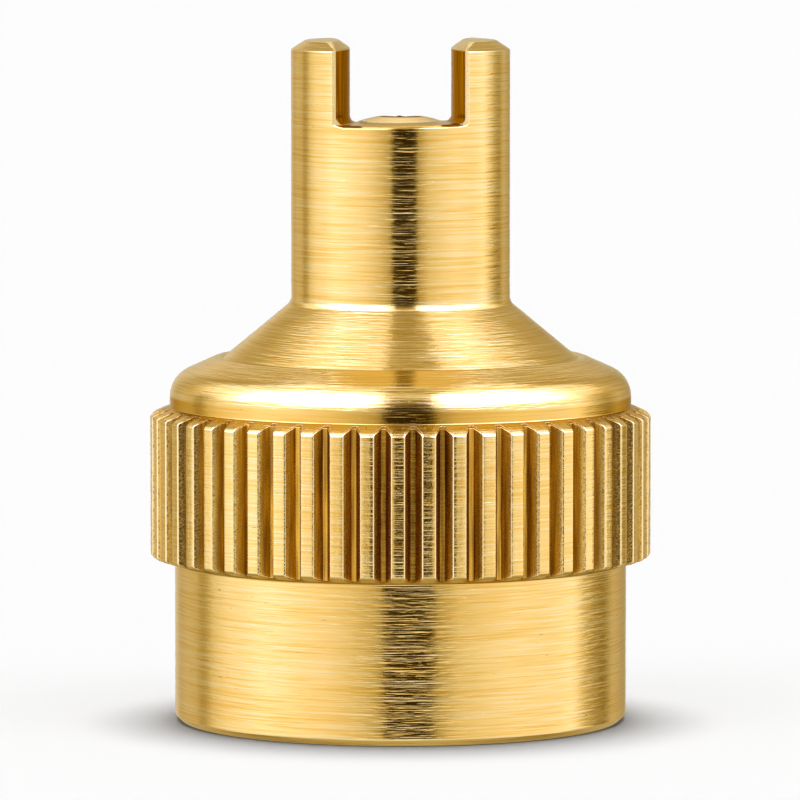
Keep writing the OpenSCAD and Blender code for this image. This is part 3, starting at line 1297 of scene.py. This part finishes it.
        left = bench.math("SUBTRACT", x, bench.remap(z, 0.0, 1.0, -0.155, -0.08))
        right = bench.math("SUBTRACT", bench.remap(z, 0.0, 1.0, 0.295, 0.2), x)
        inside = bench.times(
            bench.remap(left, -0.02, 0.02),
            bench.remap(right, -0.02, 0.02),
            bench.remap(y, 0.3, 0.16),
            bench.remap(z, -0.21, -0.18),
        )
        ahead = bench.times(bench.remap(z, 0.72, 0.9), bench.remap(y, -0.05, -0.2), 0.35)
        strip = bench.plus(bench.remap(z, 0.3, 0.97, 0.035, 0.44), ahead)
        level = bench.blend(inside, level, strip)
        shade = bench.remap(z, -0.55, -0.8, 1.0, 0.6)
        table = bench.times(shade, bench.remap(y, 0.1, 0.5, 1.0, 0.5))
        return bench.blend(bench.remap(z, -0.18, -0.24), level, table)

    def tent(self) -> None:
        """A round tent of light and dark cards that only mirrors show.

        A point is (R cos e sin a, -R cos e cos a, R sin e). A card of
        brightness L shines with (L, L to 1.12, L to 1.8), so the bright ones
        are whiter and the dark ones warmer. It shines less on what metal shows
        in other metal, and hardly on what the metal sends to the floor.
        """
        across, up = 96, 48
        powers, again_shares, most_levels = (1.0, 1.12, 1.8), (0.6, 0.72, 0.7), (9.0, 1.4)
        azimuth = np.linspace(-math.pi, math.pi, across, endpoint=False)
        lift = np.linspace(-math.pi / 2, math.pi / 2, up)
        a, e = np.meshgrid(azimuth, lift)
        r = self.tent_r / MM
        places = polar(r * np.cos(e), a - math.pi / 2, r * np.sin(e))
        index = np.arange(across * up).reshape(up, across)
        tent = make_piece("tent", places.reshape(-1, 3), grid_faces(index, True)[:, ::-1].tolist())
        material, bench = new_material("tent_cards")
        bench.tree.nodes.clear()
        path = bench.add("ShaderNodeLightPath").outputs
        mirrored = bench.remap(path["Glossy Depth"], 1.4, 1.6)
        most = bench.remap(mirrored, 0.0, 1.0, *most_levels)
        level = bench.math("MINIMUM", self.card_light(bench, bench.here()), most)
        card = bench.add("ShaderNodeCombineColor")
        for socket, power, share in zip(card.inputs, powers, again_shares):
            again = bench.remap(mirrored, 0.0, 1.0, 1.0, share)
            bench.feed(socket, bench.times(bench.math("POWER", level, power), again))
        glow = bench.add("ShaderNodeEmission")
        bench.feed(glow.inputs[0], card.outputs[0])
        bench.feed(glow.inputs[1], bench.remap(path["Diffuse Depth"], 0.4, 0.6, 1.0, 0.15))
        bench.feed(bench.add("ShaderNodeOutputMaterial").inputs[0], glow.outputs[0])
        tent.data.materials.append(material)
        for ray in ("camera", "diffuse", "shadow", "transmission"):
            setattr(tent, f"visible_{ray}", False)

    def floor(self) -> None:
        """A wide pale floor that can't be seen from below."""
        places = np.array([[-1, -1, 0], [1, -1, 0], [1, 1, 0], [-1, 1, 0]]) * self.floor_half
        floor = make_piece("floor", places, [[0, 1, 2, 3]])
        material, bench = new_material("pale_floor")
        bench.shade({
            "Base Color": (0.98, 0.98, 0.98, 1.0), "Roughness": 1.0, "Specular IOR Level": 0.0,
        })
        nodes = bench.tree.nodes
        mix = bench.add("ShaderNodeMixShader")
        sources = (
            bench.add("ShaderNodeNewGeometry").outputs["Backfacing"],
            nodes["Principled BSDF"].outputs[0],
            bench.add("ShaderNodeBsdfTransparent").outputs[0],
        )
        for socket, source in zip(mix.inputs, sources):
            bench.feed(socket, source)
        bench.feed(nodes["Material Output"].inputs[0], mix.outputs[0])
        floor.data.materials.append(material)
        floor.visible_glossy = False

    def lamps(self) -> None:
        """A soft lamp from above and a little behind, and weak ones at the sides."""
        for name, tilt, turn, energy in self.lamp_table:
            data = bpy.data.lights.new(name, "SUN")
            data.energy = energy
            data.angle = math.radians(30)
            lamp = bpy.data.objects.new(name, data)
            lamp.rotation_euler = (math.radians(tilt), 0.0, math.radians(turn))
            lamp.visible_glossy = False
            bpy.context.scene.collection.objects.link(lamp)

    def world(self) -> None:
        """White for the camera and for mirrors, soft white for the rest."""
        world = bpy.data.worlds.new("studio")
        bpy.context.scene.world = world
        world.use_nodes = True
        bench = Bench(world.node_tree)
        glow = world.node_tree.nodes["Background"]
        path = bench.add("ShaderNodeLightPath").outputs
        seen = bench.math("MAXIMUM", path["Is Camera Ray"], path["Is Glossy Ray"])
        seen = bench.math("MAXIMUM", seen, path["Is Transmission Ray"])
        glow.inputs["Color"].default_value = (1.0, 1.0, 1.0, 1.0)
        bench.feed(glow.inputs["Strength"], bench.remap(seen, 0.0, 1.0, 0.15, 1.0))

    def build(self) -> None:
        """Sets up everything round the cap."""
        self.camera()
        self.world()
        self.lamps()
        self.floor()
        self.tent()
        bpy.context.scene.view_settings.view_transform = "Standard"


def main() -> None:
    """Builds the cap and the studio, and logs each piece's face count."""
    logging.basicConfig(level=logging.INFO, format="%(message)s")
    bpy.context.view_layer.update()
    brass = BrassFinish().build(turning_marks())
    for maker in (TurnedCap(), InsideThread()):
        piece = maker.build()
        maker.dress(piece, brass)
        log.info("%s: %d faces", piece.name, len(piece.data.polygons))
    washer = SealingWasher()
    washer.dress(RubberFinish().build())
    log.info("%s: dressed", washer.node)
    Studio().build()


if __name__ == "__main__":
    main()
